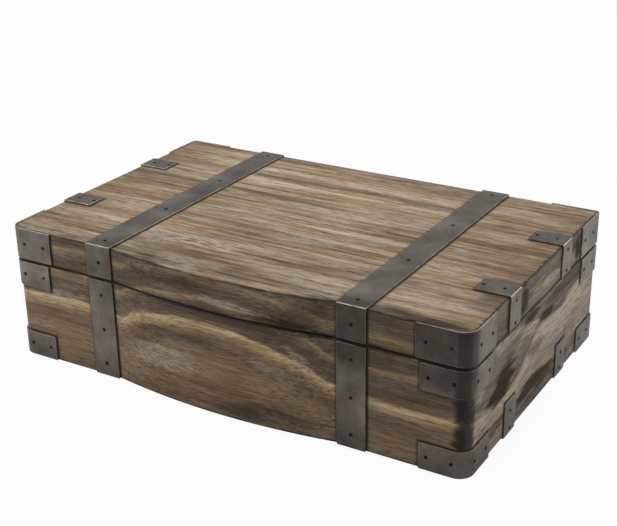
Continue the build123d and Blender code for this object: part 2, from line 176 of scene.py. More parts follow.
# Patches of wax, on the top partly a painted sheen, and of smoke, beside the lid's side
# brackets partly painted shade: middle along and across and half sizes in mm, slope in
# degrees, and depth
PALE = {
    "front": [
        (-36, 28, 32, 9, 0, 0.85), (38, 38, 16, 5, -12, 0.5), (-125, 78, 24, 7, 0, 0.4),
        (-122, 49, 24, 4.5, 3, 0.7), (13, 73.5, 26, 2.8, -3, 1.0), (55, 48, 14, 4, -40, 0.7),
    ],
    "right": [
        (-48, 62, 28, 4.5, -2, 1.0), (-14, 54, 18, 5.5, -12, 1.1), (12, 75, 26, 4.5, -8, 0.9),
        (-80, 27, 20, 5, 0, 0.8), (45, 42, 46, 7, 2, 1.1), (-88, 45, 12, 7, 0, 0.8),
    ],
    # On the top these pale patches are partly wax and partly a painted sheen of light on the
    # waxed board
    "top": [
        (35, 66, 90, 8, -1, 0.5), (25, 19, 75, 6.5, 1, 0.9), (55, -14, 34, 8, 0, 0.6),
        (-48, -64, 46, 10, 0, 1.0), (50, -76, 42, 6, 0, 0.9), (20, -56, 80, 7, 1, 0.4),
    ],
}
SMOKE = {
    "front": [
        (30, 9, 42, 7, 0, 0.6), (52, 68, 36, 4.5, -4, 0.85), (-36, 82, 28, 6, 0, 0.55),
        (5, 63, 75, 3, -1, 0.45), (-28, 45, 38, 4, 2, 0.5), (62, 80, 14, 5, 0, 0.4),
        (95, 25, 34, 5, 0, 0.35),
    ],
    "right": [
        (-52, 38.5, 23, 11.5, 24, 1.6), (60, 82, 36, 6, 0, 0.8), (48, 61, 46, 7, 3, 0.85),
        (14, 52, 15, 5, -8, 1.2), (-60, 14, 22, 5, -3, 0.8), (-10, 15, 28, 6.5, 2, 1.1),
        (14, 12, 28, 7, -3, 1.0), (0, 6, 38, 6, 0, 0.7),
        (35, 8, 30, 7, 0, 0.9), (68, 11, 14, 6, 0, 0.7), (-13, 62, 14, 5, 0, 1.1),
        # These three narrow patches beside the lid's side brackets are soot and painted shade
        (-26, 76, 7, 13, 0, 1.0), (-49, 76, 5, 13, 0, 0.8), (61, 76, 5, 13, 0, 1.2),
        (-4, 37, 16, 6, 0, 0.5),
    ],
    "top": [
        (0, -91.5, 170, 7, 0, 0.6), (150, -46, 14, 34, 0, 0.4), (-50, -28, 85, 4, 0, 0.45),
        (0, 93, 170, 6, 0, 0.4), (58, 55, 26, 5, 0, 0.5), (-60, 57, 80, 5, 0, 0.25),
        (105, -95, 60, 6, 0, 0.85), (-60, -89, 60, 6, 0, 0.5),
    ],
}
# The way that each face looks
OUTWARD = {
    "front": (0, -1, 0), "back": (0, 1, 0), "left": (-1, 0, 0), "right": (1, 0, 0),
    "top": (0, 0, 1),
}
# How deep the torch went at the lower and the higher end of each wall, and how far it
# reached: from where the wood is clear to where it is darkest, in mm from the end
CORNER_BURNS = {
    "front": (0.1, 0.97), "right": (0.97, 0.1), "back": (0.2, 0.1), "left": (0.5, 0.1),
}
BURN_CLEAR, BURN_FULL = 10.5, 5.5
# The bow of the front's middle, in mm
BOW_DEPTH, BOW_HALF = 6.8, 76.0
# Further than any gap on the case
FAR = 1000.0


def bands_of(face):
    """The growth bands that a face of the case shows, as ramp stops."""
    bands = BANDS["front" if face in ENDS else "side"]
    return [(0.5 + place / (2 * BAND_REACH), colour) for place, colour in bands]


def noise_along(tree, grain, along_mm, across_mm, detail=2.0, **settings):
    """Noise drawn out along the grain, from its real size each way."""
    scale = (1 / along_mm, 1 / across_mm, 1 / across_mm)
    spot = add_node(tree, "Mapping", {"Vector": grain, "Scale": scale, **settings})
    return add_node(tree, "TexNoise", {"Vector": spot, "Scale": 1.0, "Detail": detail})


def plates_on(face):
    """Middle and half size, along and across, of the plates on one face in mm.

    A plate that goes round an edge gets a box that reaches past the edge.
    """
    flange_long, flange_half, leg_half = 20.5, 12, 20
    bracket_half = BRACKET_HALF / MM
    bracket_along = (high_of("lid_side_brackets_right").y - MID_Y) / MM - bracket_half
    if face == "top":
        flange = SIDE_X / MM - flange_long + flange_half
        strap = (STRAP_X / MM, 0, STRAP_HALF / MM, 2 * END_Y / MM)
        return [strap, (flange, bracket_along, flange_half, bracket_half)]
    boxes = []
    axis = 0 if face in ENDS else 1
    for row in ("lid", "upper", "lower"):
        node = f"{row}_corner_bracket_{'front' if face not in ENDS else face}_right"
        low, high = low_of(node), high_of(node)
        near = min(abs(low[axis] - axis * MID_Y), abs(high[axis] - axis * MID_Y)) / MM
        half_z = (high.z - low.z) / 2 / MM
        boxes.append((near + leg_half, low.z / MM + half_z, leg_half, half_z))
    if face in ENDS:
        boxes.append((STRAP_X / MM, 0, STRAP_HALF / MM, 2 * TOP_Z / MM))
    else:
        for kind in ("lid", "base"):
            node = f"{kind}_side_brackets_right"
            low, high = low_of(node).z / MM, high_of(node).z / MM
            boxes.append((bracket_along, (low + high) / 2, bracket_half, (high - low) / 2))
    return boxes


def soot_and_shade_by_plates(tree, grain, face):
    """How near a point is to the nearest plate, for the soot and painted shade beside it: 1
    beside it, and 0 well away.
    """
    nearest = FAR
    mirrored = add_node(tree, "VectorMath", {0: grain}, operation="ABSOLUTE")
    for along, across, half_along, half_across in plates_on(face):
        shifted = add_node(
            tree, "VectorMath", {0: mirrored, 1: (along, across, 0)}, operation="SUBTRACT"
        )
        folded = add_node(tree, "VectorMath", {0: shifted}, operation="ABSOLUTE")
        outside = add_node(
            tree, "VectorMath", {0: folded, 1: (half_along, half_across, 0)}, operation="SUBTRACT"
        )
        parts = add_node(tree, "SeparateXYZ", {0: outside}).node.outputs
        gap = add_node(tree, "Math", {0: parts[0], 1: parts[1]}, operation="MAXIMUM")
        nearest = add_node(tree, "Math", {0: gap, 1: nearest}, operation="MINIMUM")
    return add_node(
        tree, "MapRange", {0: nearest, 1: 0.2, 2: 2.4, 3: 1.0, 4: 0.0},
        interpolation_type="SMOOTHSTEP",
    )


def grain_of(tree, face):
    """Along, across and into the board, in mm, for one face of the case."""
    place = add_node(tree, "TexCoord", output=3)
    metric = add_node(tree, "VectorMath", {0: place, 1: (0, MID_Y, 0)}, operation="SUBTRACT")
    metric = add_node(tree, "VectorMath", {0: metric, 3: 1 / MM}, operation="SCALE")
    parts = add_node(tree, "SeparateXYZ", {0: metric}).node.outputs
    order = {"top": (0, 1, 2), "front": (0, 2, 1), "back": (0, 2, 1)}.get(face, (1, 2, 0))
    grain = add_node(tree, "CombineXYZ", {i: parts[order[i]] for i in range(3)})
    return grain, parts[order[0]], parts[order[1]]


def flame_colour(tree, face, grain, along, across):
    """Growth bands that follow the board's wandering line."""
    reach = (SIDE_X if face in ENDS else END_Y) / MM
    tall = TOP_Z / MM
    share = add_node(tree, "MapRange", {0: along, 1: -reach, 2: reach})
    points = [(0.5 + a / (2 * reach), z / tall) for a, z in FLAMES[face]]
    wander = add_node(tree, "FloatCurve", {1: share}, line=points)
    level = add_node(tree, "MapRange", {0: wander, 3: 0.0, 4: tall})
    rise = add_node(tree, "Math", {0: level, 1: -FLAME_REST}, operation="ADD")
    low, high = FLAME_FADE
    fade = add_node(tree, "MapRange", {0: across, 1: low, 2: high, 3: 1.0, 4: 0.5})
    rise = add_node(tree, "Math", {0: rise, 1: fade}, operation="MULTIPLY")
    over = add_node(tree, "Math", {0: across, 1: -FLAME_REST}, operation="ADD")
    over = add_node(tree, "Math", {0: over, 1: rise}, operation="SUBTRACT")
    for along_mm, across_mm, swing in BAND_WAVES:
        wave = noise_along(tree, grain, along_mm, across_mm)
        wave = add_node(tree, "MapRange", {0: wave, 3: -swing / 2, 4: swing / 2})
        over = add_node(tree, "Math", {0: over, 1: wave}, operation="ADD")
    share = add_node(tree, "MapRange", {0: over, 1: -BAND_REACH, 2: BAND_REACH})
    return add_node(tree, "ValToRGB", {0: share}, stops=bands_of(face))


def top_colour(tree, grain, along):
    """Long straight bands of the lid's top board, browner towards its ends."""
    broad = noise_along(tree, grain, 260, 14, 3.0)
    narrow = noise_along(tree, grain, 110, 3.0, 4.0)
    mixed = add_node(tree, "Mix", {0: 0.42, 2: broad, 3: narrow}, data_type="FLOAT")
    colour = add_node(tree, "ValToRGB", {0: mixed}, stops=TOP_BANDS)
    far = add_node(tree, "Math", {0: along}, operation="ABSOLUTE")
    far = add_node(tree, "MapRange", {0: far, 1: 95.0, 2: 150.0, 3: 0.0, 4: 0.6})
    return add_node(
        tree, "Mix", {0: far, MIX_A: colour, MIX_B: linear("#6F5539")}, 2, data_type="RGBA"
    )


def patches_on(tree, grain, patches):
    """How deep a point lies in any of some soft-edged, ragged patches."""
    ragged = noise_along(tree, grain, 30, 4, 4.0)
    ragged = add_node(tree, "MapRange", {0: ragged, 1: 0.3, 2: 0.7, 3: -0.35, 4: 0.35})
    deepest = 0.0
    for along, across, half_along, half_across, slope, depth in patches:
        shape = {
            "Vector": grain,
            "Location": (along, across, 0),
            "Rotation": (0, 0, math.radians(slope)),
            "Scale": (half_along, half_across, 100 * FAR),
        }
        spot = add_node(tree, "Mapping", shape, vector_type="TEXTURE")
        away = add_node(tree, "VectorMath", {0: spot}, 1, operation="LENGTH")
        away = add_node(tree, "Math", {0: away, 1: ragged}, operation="ADD")
        inside = add_node(
            tree, "MapRange", {0: away, 1: 0.5, 2: 1.1, 3: depth, 4: 0.0},
            interpolation_type="SMOOTHSTEP",
        )
        deepest = add_node(tree, "Math", {0: inside, 1: deepest}, operation="MAXIMUM")
    return deepest


def burnt_edge(tree, face, grain, along, across):
    """How deeply a point is burnt: 1 at the board's edges, and 0 inside."""
    ragged = noise_along(tree, grain, 14, 3)
    if face == "top":
        far = add_node(tree, "Math", {0: along}, operation="ABSOLUTE")
        side_gap = add_node(tree, "Math", {0: SIDE_X / MM, 1: far}, operation="SUBTRACT")
        bow = add_node(tree, "MapRange", {0: far, 1: 0.0, 2: BOW_HALF, 3: 0.0, 4: 1.0})
        bow = add_node(tree, "Math", {0: bow, 1: 2.0}, operation="POWER")
        bow = add_node(tree, "MapRange", {0: bow, 3: BOW_DEPTH, 4: 0.0})
        front = add_node(tree, "Math", {0: across, 1: END_Y / MM}, operation="ADD")
        front = add_node(tree, "Math", {0: front, 1: bow}, operation="ADD")
        back = add_node(tree, "Math", {0: END_Y / MM, 1: across}, operation="SUBTRACT")
        gap = add_node(tree, "Math", {0: front, 1: back}, operation="MINIMUM")
        gap = add_node(tree, "Math", {0: gap, 1: side_gap}, operation="MINIMUM")
    else:
        gap = FAR
        for level in (BASE_Z, RIM_Z, LID_Z, TOP_Z):
            off = add_node(tree, "Math", {0: across, 1: -level / MM}, operation="ADD")
            off = add_node(tree, "Math", {0: off}, operation="ABSOLUTE")
            gap = add_node(tree, "Math", {0: off, 1: gap}, operation="MINIMUM")
    reach = add_node(tree, "MapRange", {0: ragged, 1: 0.3, 2: 0.7, 3: 0.6, 4: 3.0})
    burnt = add_node(
        tree, "MapRange", {0: gap, 1: 0.2, 2: reach, 3: 1.0, 4: 0.0},
        interpolation_type="SMOOTHSTEP",
    )
    if face != "top":
        reach = (SIDE_X if face in ENDS else END_Y) / MM
        wobble = add_node(tree, "MapRange", {0: ragged, 1: 0.3, 2: 0.7, 3: -2.0, 4: 2.0})
        place = add_node(tree, "Math", {0: along, 1: wobble}, operation="ADD")
        for sign, depth in zip((-1, 1), CORNER_BURNS[face]):
            clear, deep = sign * (reach - BURN_CLEAR), sign * (reach - BURN_FULL)
            corner = add_node(
                tree, "MapRange", {0: place, 1: clear, 2: deep, 3: 0.0, 4: depth},
                interpolation_type="SMOOTHSTEP",
            )
            burnt = add_node(tree, "Math", {0: burnt, 1: corner}, operation="MAXIMUM")
    return burnt


def outer_share(tree, face):
    """How far a point belongs to the board's outer face: 0 on its rim and inside."""
    normal = add_node(tree, "TexCoord", output=1)
    out = OUTWARD[face]
    facing = add_node(tree, "VectorMath", {0: normal, 1: out}, 1, operation="DOT_PRODUCT")
    return add_node(
        tree, "MapRange", {0: facing, 1: 0.3, 2: 0.65}, interpolation_type="SMOOTHSTEP"
    )


def brushed(tree, grain, face):
    """Brushed fibres under a millimetre apart, and how they and wider streaks shade."""
    length, swing = (32, 0.28) if face == "top" else (22, 0.36)
    fibre = noise_along(tree, grain, length, 0.6, 4.0)
    shade = add_node(tree, "MapRange", {0: fibre, 1: 0.32, 2: 0.68, 3: 1 - swing, 4: 1 + swing})
    streak = noise_along(tree, grain, 60, 2.4, 3.0, Location=(6, 1, 3))
    streak = add_node(tree, "MapRange", {0: streak, 1: 0.32, 2: 0.68, 3: 0.76, 4: 1.22})
    return fibre, add_node(tree, "Math", {0: shade, 1: streak}, operation="MULTIPLY")


def wax_and_sheen_left(tree, grain, face, smoke):
    """Pale wax left in flecks and patches, and next to none on the deepest soot; on the top the
    patches are partly painted sheen.
    """
    wax_and_sheen = noise_along(tree, grain, 44, 10, 2.0, Location=(9, 2, 5))
    wax_and_sheen = add_node(tree, "MapRange", {0: wax_and_sheen, 1: 0.46, 2: 0.68, 3: 0.0, 4: WAX[face]})
    patches = patches_on(tree, grain, PALE.get(face, []))
    wax_and_sheen = add_node(tree, "Math", {0: wax_and_sheen, 1: patches}, operation="MAXIMUM")
    flecks = noise_along(tree, grain, 7, 0.7, 3.0, Location=(2, 5, 4))
    flecks = add_node(tree, "MapRange", {0: flecks, 1: 0.42, 2: 0.6, 3: 0.15, 4: 0.95})
    taken = add_node(tree, "MapRange", {0: smoke, 1: 0.9, 2: 1.5, 3: 1.0, 4: 0.1})
    for share in (flecks, taken):
        wax_and_sheen = add_node(tree, "Math", {0: wax_and_sheen, 1: share}, operation="MULTIPLY")
    return wax_and_sheen


def charred_and_shaded(tree, face, grain, along, across):
    """How dark the torch left a point, with the soot and painted shade beside the plates.

    Both reach the outer face, and half as deep a burn reaches the rim.
    """
    outer = outer_share(tree, face)
    # Soot and painted shade beside the plates, on the outer face only
    soot_and_shade = soot_and_shade_by_plates(tree, grain, face)
    soot_and_shade = add_node(tree, "Math", {0: soot_and_shade, 1: outer}, operation="MULTIPLY")
    reached = add_node(tree, "MapRange", {0: outer, 3: 0.5, 4: 1.0})
    burnt = burnt_edge(tree, face, grain, along, across)
    burnt = add_node(tree, "Math", {0: burnt, 1: reached}, operation="MULTIPLY")
    dark = add_node(tree, "Math", {0: burnt, 1: soot_and_shade}, operation="MAXIMUM")
    return add_node(tree, "Math", {0: dark, 1: 0.92}, operation="MULTIPLY")


def wood_of(tree, face):
    """Colour, roughness and relief of one face's board."""
    grain, along, across = grain_of(tree, face)
    if face == "top":
        colour = top_colour(tree, grain, along)
    else:
        colour = flame_colour(tree, face, grain, along, across)
    smoke = patches_on(tree, grain, SMOKE.get(face, []))
    deep = add_node(tree, "MapRange", {0: smoke, 1: 0.8, 2: 1.9})
    thin = "#231B15" if face in ("front", "top") else "#3A2B1F"
    soot = add_node(tree, "ValToRGB", {0: deep}, stops=[(0, thin), (1, "#1F1710")])
    fibre, shade = brushed(tree, grain, face)
    wax_and_sheen = wax_and_sheen_left(tree, grain, face, smoke)
    pale = linear("#B9AE9C" if face == "top" else "#A69C8B")
    # Open pores, finer than the fibres
    pores = noise_along(tree, grain, 8, 0.4, 1.0, Location=(3, 7, 1))
    pores = add_node(tree, "MapRange", {0: pores, 1: 0.56, 2: 0.68, 3: 0.0, 4: 0.8})
    # Char, with soot and painted shade beside the plates
    dark = charred_and_shaded(tree, face, grain, along, across)
    for share, layer, way in (
        (smoke, soot, "MIX"), (1.0, shade, "MULTIPLY"), (wax_and_sheen, pale, "MIX"),
        (pores, linear("#2E251D"), "MIX"), (dark, linear("#1C1510"), "MIX"),
    ):
        laid = {0: share, MIX_A: colour, MIX_B: layer}
        colour = add_node(tree, "Mix", laid, 2, data_type="RGBA", blend_type=way)
    # Soot is matt
    rough = add_node(tree, "MapRange", {0: fibre, 1: 0.3, 2: 0.7, 3: 0.72, 4: 0.55})
    matt = add_node(tree, "MapRange", {0: smoke, 1: 0.4, 2: 1.2})
    rough = add_node(tree, "Mix", {0: matt, 2: rough, 3: 0.95}, data_type="FLOAT")
    relief = add_node(tree, "Math", {0: fibre, 1: pores}, operation="SUBTRACT")
    return colour, rough, relief


def finish_wood(material, tree, shader, colour, rough, relief):
    """Links a wood's colour, roughness and brushed relief to its shader."""
    bump = add_node(tree, "Bump", {"Height": relief, "Strength": 0.35, "Distance": 0.3 * MM})
    found = {"Base Color": colour, "Roughness": rough, "Normal": bump}
    set_inputs(tree, shader, {**found, "Specular IOR Level": 0.25})
    return material


def burnt_wood(face):
    """Torched and waxed board of one wall."""
    material, tree, shader = new_material(f"burnt_wood_{face}")
    return finish_wood(material, tree, shader, *wood_of(tree, face))


def burnt_wood_lid():
    """The lid's top board, whose edges go on the bands of the rails below them."""
    material, tree, shader = new_material("burnt_wood_lid")
    facing = add_node(tree, "SeparateXYZ", {0: add_node(tree, "TexCoord", output=1)}).node.outputs
    found = wood_of(tree, "top")
    for face, axis, sign in (("front", 1, -1), ("back", 1, 1), ("left", 0, -1), ("right", 0, 1)):
        share = add_node(tree, "Math", {0: facing[axis], 1: sign}, operation="MULTIPLY")
        share = add_node(tree, "MapRange", {0: share, 1: 0.6, 2: 0.75})
        edge = wood_of(tree, face)
        colour = add_node(
            tree, "Mix", {0: share, MIX_A: found[0], MIX_B: edge[0]}, 2, data_type="RGBA"
        )
        found = [colour] + [
            add_node(tree, "Mix", {0: share, 2: found[i], 3: edge[i]}, data_type="FLOAT")
            for i in (1, 2)
        ]
    return finish_wood(material, tree, shader, *found)


# Painted shade on the plates, where less light falls: about the seam at the front,
# and most at its right corner. Each axis goes from clear to full, in mm.
SEAM_SHADE = ((2, 44, 58), (1, -86, -92))
CORNER_SHADE = ((0, 144, 149), (1, -91, -95), (2, 17, 30))


def painted_plate_shade(tree, place):
    """How much painted shade darkens a place on the plates."""
    front = add_node(tree, "MapRange", {0: place[0], 1: -125.0, 2: -30.0, 3: 0.031, 4: 0.62})
    deepest = 0.0
    for amount, limits in ((front, SEAM_SHADE), (0.8, CORNER_SHADE)):
        for axis, clear, full in limits:
            share = add_node(
                tree, "MapRange", {0: place[axis], 1: clear, 2: full},
                interpolation_type="SMOOTHSTEP",
            )
            amount = add_node(tree, "Math", {0: amount, 1: share}, operation="MULTIPLY")
        deepest = add_node(tree, "Math", {0: amount, 1: deepest}, operation="MAXIMUM")
    return deepest


def aged_iron():
    """Mild steel strap, aged dark brown, wiped back and waxed: mottled, with its rims and bends
    painted bright as wear and highlight, and painted shade about the lid's front seam.
    """
    material, tree, shader = new_material("aged_iron")
    place = add_node(tree, "TexCoord", output=3)
    metric = add_node(tree, "VectorMath", {0: place, 3: 1 / MM}, operation="SCALE")
    cloud = {"Vector": metric, "Scale": 1 / 22, "Detail": 6.0, "Roughness": 0.62}
    cloud = add_node(tree, "TexNoise", cloud)
    colour = add_node(
        tree, "ValToRGB", {0: cloud},
        stops=[(0.32, "#57504A"), (0.46, "#68625C"), (0.56, "#736D66"), (0.68, "#827C74")],
    )
    specks = add_node(tree, "TexNoise", {"Vector": metric, "Scale": 1 / 0.8, "Detail": 3.0})
    shade = add_node(tree, "MapRange", {0: specks, 1: 0.3, 2: 0.7, 3: 0.84, 4: 1.12})
    # Painted shade on the plates about the lid's front seam and its right corner
    held = painted_plate_shade(tree, add_node(tree, "SeparateXYZ", {0: metric}).node.outputs)
    # Painted highlight and wear on the rims and bends, made patchy
    wear_and_shine = add_node(tree, "Attribute", output=2, attribute_name="wear_and_shine")
    patchy = add_node(tree, "TexNoise", {"Vector": metric, "Scale": 1 / 5, "Detail": 3.0})
    patchy = add_node(tree, "MapRange", {0: patchy, 1: 0.35, 2: 0.6, 3: 0.7, 4: 1.0})
    wear_and_shine = add_node(tree, "Math", {0: wear_and_shine, 1: patchy}, operation="MULTIPLY")
    wear_and_shine = add_node(tree, "MapRange", {0: wear_and_shine, 1: 0.25, 2: 0.9, 3: 0.0, 4: 1.0})
    for share, layer, way in (
        (1.0, shade, "MULTIPLY"), (held, linear("#2E2824"), "MIX"),
        (wear_and_shine, linear("#D8D0BC"), "MIX"),
    ):
        laid = {0: share, MIX_A: colour, MIX_B: layer}
        colour = add_node(tree, "Mix", laid, 2, data_type="RGBA", blend_type=way)
    rough = add_node(tree, "MapRange", {0: specks, 1: 0.3, 2: 0.7, 3: 0.4, 4: 0.55})
    relief = add_node(tree, "Math", {0: specks, 1: cloud}, operation="ADD")
    bump = add_node(tree, "Bump", {"Height": relief, "Strength": 0.2, "Distance": 0.12 * MM})
    found = {"Base Color": colour, "Roughness": rough, "Normal": bump}
    set_inputs(tree, shader, {**found, "Metallic": 0.9})
    return material


def patchy_metal(name, patch_mm, detail, stops, roughness):
    """A metal whose colour and gloss change together, from patch to patch."""
    material, tree, shader = new_material(name)
    place = add_node(tree, "TexCoord", output=3)
    scale = 1 / (patch_mm * MM)
    patches = add_node(tree, "TexNoise", {"Vector": place, "Scale": scale, "Detail": detail})
    colour = add_node(tree, "ValToRGB", {0: patches}, stops=stops)
    least, most = roughness
    rough = add_node(tree, "MapRange", {0: patches, 1: 0.3, 2: 0.7, 3: least, 4: most})
    set_inputs(tree, shader, {"Base Color": colour, "Roughness": rough, "Metallic": 1.0})
    return material


def blackened_iron():
    """Hand-forged nails, blued: nearly black, and glossy where the head is rubbed."""
    stops = [(0.35, "#151312"), (0.55, "#2B2826"), (0.7, "#4A4642")]
    return patchy_metal("blackened_iron", 1.2, 2.0, stops, (0.32, 0.55))


def antique_brass():
    """Stamped brass hinges, darkened by age: dull brown, and brighter on the rubbed flats."""
    stops = [(0.3, "#6E6148"), (0.5, "#857452"), (0.7, "#9C8A64")]
    return patchy_metal("antique_brass", 7, 3.0, stops, (0.5, 0.28))


# Modelling by hand: a primitive in place, shaped in edit mode
def take_up(piece):
    """Leaves one piece selected and active."""
    bpy.ops.object.select_all(action="DESELECT")
    piece.select_set(True)
    bpy.context.view_layer.objects.active = piece


def choose_faces(piece, wanted):
    """Leaves only the wanted faces selected, in edit mode."""
    bpy.ops.object.mode_set(mode="OBJECT")
    mesh = piece.data
    for group in (mesh.vertices, mesh.edges):
        for part in group:
            part.select = False
    for face in mesh.polygons:
        face.select = wanted(face)
    bpy.ops.object.mode_set(mode="EDIT")


def beyond_wood(point):
    """How far a point lies outside the case, past its flat top, bottom or walls."""
    radius = CORNER_RADII["front" if point.y < MID_Y else "back"]
    side = max(abs(point.x) - SIDE_X + radius, 0)
    end = max(abs(point.y - MID_Y) - END_Y + radius, 0)
    plan = math.hypot(side, end) - radius
    level = max(point.z - TOP_Z, BASE_Z - point.z)
    return plan + BEND_RADIUS, level + BEND_RADIUS


def start_plane(name, place, turned, wide, tall):
    """A flat face at its place, turned and scaled, in edit mode and all selected."""
    bpy.ops.object.select_all(action="DESELECT")
    bpy.ops.mesh.primitive_plane_add(size=1, location=place, rotation=turned)
    piece = bpy.context.object
    piece.name = name
    piece.scale = (wide, tall, 1)
    bpy.ops.object.transform_apply(location=True, rotation=True, scale=True)
    bpy.ops.object.mode_set(mode="EDIT")
    bpy.ops.mesh.select_mode(type="FACE")
    return piece


def extrude_by(move):
    """Extrudes what is selected and moves it."""
    bpy.ops.mesh.extrude_region_move(TRANSFORM_OT_translate={"value": move})


def finish_closed():
    """Turns every face outwards and leaves edit mode."""
    bpy.ops.mesh.select_all(action="SELECT")
    bpy.ops.mesh.normals_make_consistent(inside=False)
    bpy.ops.object.mode_set(mode="OBJECT")


def round_off(offset, segments=2):
    """Bevels the active piece's sharp edges, and smooths what is nearly flat."""
    bpy.ops.object.mode_set(mode="EDIT")
    bpy.ops.mesh.select_mode(type="EDGE")
    bpy.ops.mesh.select_all(action="DESELECT")
    bpy.ops.mesh.edges_select_sharp(sharpness=math.radians(60))
    bpy.ops.mesh.bevel(offset=offset, segments=segments)
    bpy.ops.object.mode_set(mode="OBJECT")
    bpy.ops.object.shade_smooth_by_angle(angle=math.radians(40))


def join(pieces):
    """Makes several pieces one, under the name of the first."""
    take_up(pieces[0])
    for piece in pieces[1:]:
        piece.select_set(True)
    bpy.ops.object.join()


def show(piece, body, slot, material, *stands_for):
    """Finishes a piece: its material, its body and the nodes it stands for. slot is not used."""
    piece.data.materials.clear()
    piece.data.materials.append(material)
    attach(piece, body)
    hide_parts(*stands_for)


# Plates: kept flat for this length beside each bend, edges rounded by this much, a rim
# this wide painted bright as wear and highlight, and how bright it is painted
HELD = 0.5 * MM
EDGE_ROUND = 0.22 * MM
WEAR_AND_SHINE_MARGIN = 0.6 * MM
RIM_WEAR_AND_SHINE = 0.52


def bent_plate(name, start, heading, section, path):
    """Strip of plate, drawn from its end section along straight lengths and bends.

    section is the size of the end in X, Y and Z, none across the heading. path holds
    lengths, and bends as a new heading and the radius inside the bend.
    """
    end_on = section.x == 0
    turned = (0, math.radians(90), 0) if end_on else (0, 0, 0)
    piece = start_plane(name, start, turned, section.z if end_on else section.x, section.y)
    spot, thickness = Vector(start), min(s for s in section if s > 0)
    for step in path:
        if isinstance(step, float):
            # Held flat by an edge close to each end, so that bends shade only themselves
            held = min(HELD, step / 4)
            for length in (held, step - 2 * held, held):
                extrude_by(heading * length)
            spot += heading * step
            continue
        new_heading, radius = step
        middle = radius + thickness / 2
        centre = spot + new_heading * middle
        steps = 6 if radius < 2 * MM else 14
        axle = new_heading.cross(heading)
        bpy.ops.mesh.spin(steps=steps, angle=math.radians(90), center=centre, axis=axle)
        spot = centre + heading * middle
        heading = new_heading
    finish_closed()
    inset_wear_and_shine(piece)
    return piece


def inset_wear_and_shine(piece):
    """Insets the plate's outer face, rounds its edges, and marks its rim and bends for painted
    highlight and wear.
    """
    shown = PLATE + BEND_RADIUS

    def outer(face):
        plan, level = (max(reach, 0) for reach in beyond_wood(face.center))
        return math.hypot(plan, level) > shown - 0.06 * MM

    choose_faces(piece, outer)
    bpy.ops.mesh.inset(thickness=WEAR_AND_SHINE_MARGIN, use_even_offset=True)
    bpy.ops.object.mode_set(mode="OBJECT")
    inside = [v.index for v in piece.data.vertices if v.select]
    wear_and_shine = piece.data.attributes.new("wear_and_shine", "FLOAT", "POINT")
    amounts = [RIM_WEAR_AND_SHINE] * len(piece.data.vertices)
    for i in inside:
        plan, level = beyond_wood(piece.data.vertices[i].co)
        # The rim takes part of the painted highlight and wear, the bends all of it, the flat face
        # none
        on_bend = plan > 0 and level > 0 and 0.45 < level / (plan + level) < 0.55
        amounts[i] = 1.0 if on_bend else 0.0
    wear_and_shine.data.foreach_set("value", amounts)
    round_off(EDGE_ROUND)


def make_straps(iron):
    """The lid's straps over the top, and the body's on its front and back."""
    for name, side in SIDES.items():
        node = f"lid_strap_{name}"
        low = low_of(node)
        start = Vector((side * STRAP_X, FRONT_Y - PLATE / 2, low.z))
        drop = TOP_Z - BEND_RADIUS - low.z
        section = Vector((2 * STRAP_HALF, PLATE, 0))
        over = 2 * (END_Y - BEND_RADIUS)
        path = [drop, (Y_WAY, BEND_RADIUS), over, (-Z_WAY, BEND_RADIUS), drop]
        piece = bent_plate(f"strap_over_lid_{name}", start, Z_WAY, section, path)
        show(piece, "lid", "strap_iron", iron, node)
        for end_name, end in ENDS.items():
            node = f"body_strap_{end_name}_{name}"
            low, high = low_of(node), high_of(node)
            start = Vector((side * STRAP_X, MID_Y + end * (END_Y + PLATE / 2), low.z))
            shown = f"strap_on_{end_name}_{name}"
            piece = bent_plate(shown, start, Z_WAY, section, [high.z - low.z])
            show(piece, "case", "strap_iron", iron, node)


def make_corner_brackets(iron):
    """The three rows of plates bent round the rounded corners."""
    for row in ("lid", "upper", "lower"):
        for name, side in SIDES.items():
            for end_name, end in ENDS.items():
                node = f"{row}_corner_bracket_{end_name}_{name}"
                low, high = low_of(node), high_of(node)
                leg = high.x - low.x - PLATE
                end_y = MID_Y + end * (END_Y + PLATE / 2)
                start = Vector((side * (SIDE_X - leg), end_y, (low.z + high.z) / 2))
                section = Vector((0, PLATE, high.z - low.z))
                radius = CORNER_RADII[end_name]
                path = [leg - radius, (-end * Y_WAY, radius), leg - radius]
                shown = f"{row}_corner_plate_{end_name}_{name}"
                piece = bent_plate(shown, start, side * X_WAY, section, path)
                show(piece, "lid" if row == "lid" else "case", "strap_iron", iron, node)


def make_side_brackets(iron):
    """The pairs of small brackets bent over the lid and under the base."""
    for kind, body, edge_z, up in (("lid", "lid", TOP_Z, 1), ("base", "case", BASE_Z, -1)):
        for name, side in SIDES.items():
            node = f"{kind}_side_brackets_{name}"
            low, high = low_of(node), high_of(node)
            flange = high.x - low.x - PLATE - BEND_RADIUS
            upright = high.z - low.z - PLATE - BEND_RADIUS
            section = Vector((0, 2 * BRACKET_HALF, PLATE))
            path = [flange, (-up * Z_WAY, BEND_RADIUS), upright]
            made = []
            for row in (-1, 1):
                from_x = side * (SIDE_X - BEND_RADIUS - flange)
                from_y = MID_Y + row * ((high.y - low.y) / 2 - BRACKET_HALF)
                start = Vector((from_x, from_y, edge_z + up * PLATE / 2))
                shown = f"{kind}_side_pair_{name}"
                made.append(bent_plate(shown, start, side * X_WAY, section, path))
            join(made)
            show(made[0], body, "strap_iron", iron, node)


